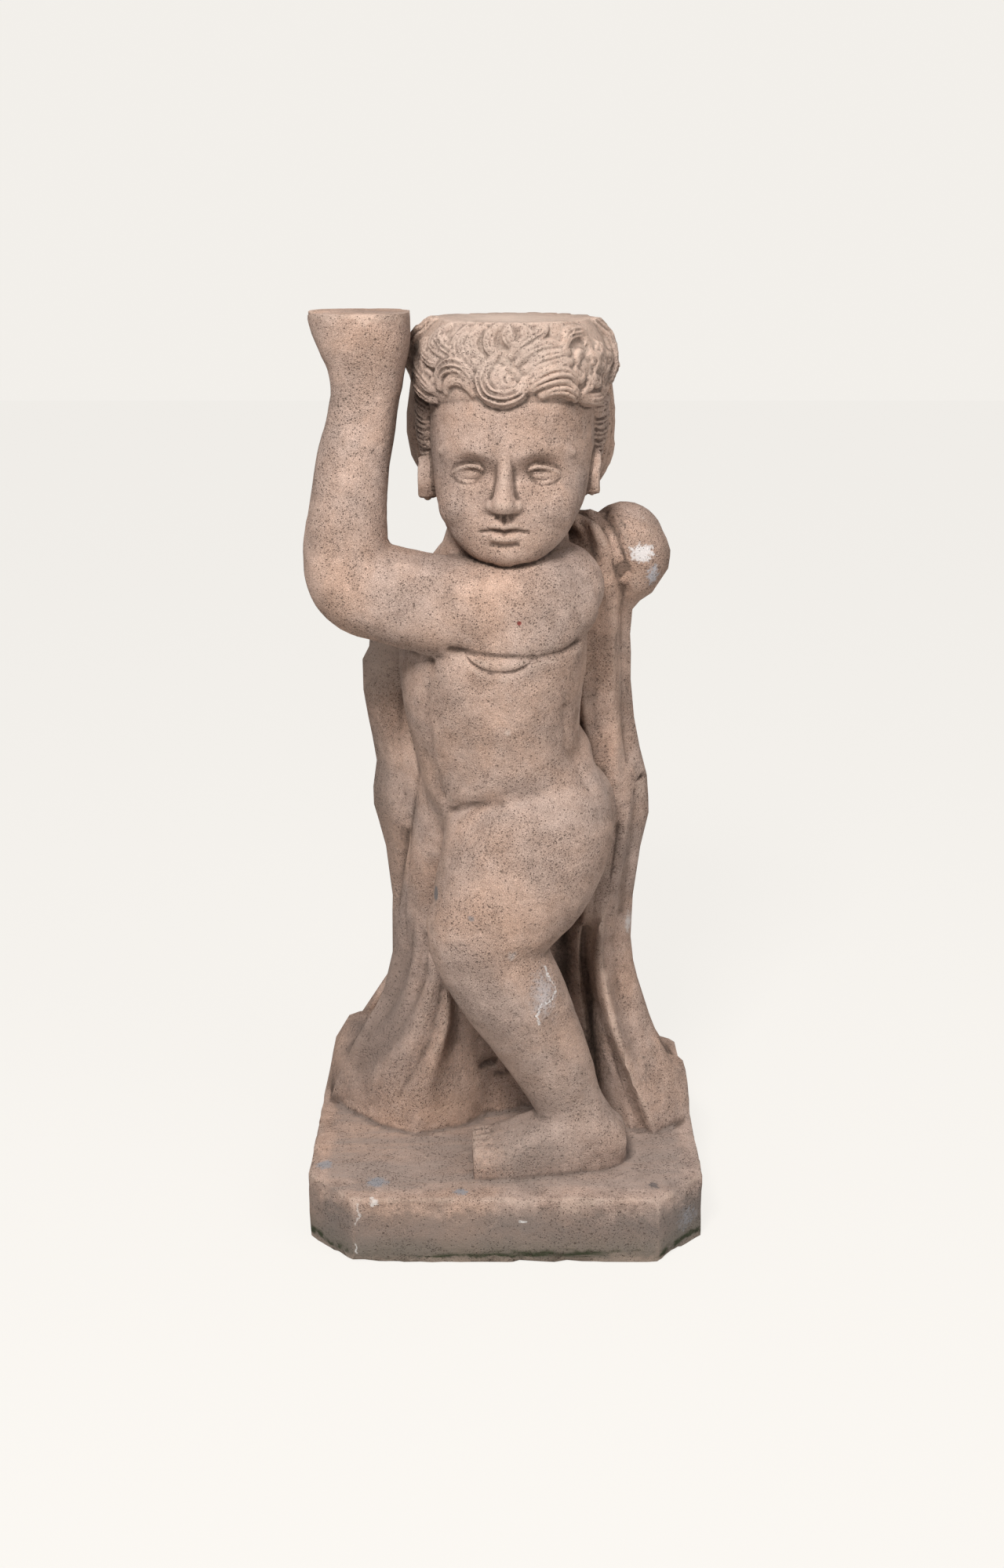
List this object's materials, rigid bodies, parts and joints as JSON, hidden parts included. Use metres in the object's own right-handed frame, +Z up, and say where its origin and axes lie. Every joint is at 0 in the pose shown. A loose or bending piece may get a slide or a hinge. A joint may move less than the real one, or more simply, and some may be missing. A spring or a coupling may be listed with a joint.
{
  "type": "carved sandstone supporting figure",
  "caption": "Carved sandstone figure of the young Hercules on a chamfered plinth, crown and raised hand cut flat to carry a slab.",
  "frame": {"origin": "on the ground under the middle of the plinth", "axes": "+Z up, +X to the viewer's right, -Y towards the viewer in front of the figure's face"},
  "size_m": [0.336, 0.336, 0.766],
  "materials": {
    "sandstone": null
  },
  "bodies": {
    "root": {"hercules_statue": "sandstone"}
  },
  "joints": []
}
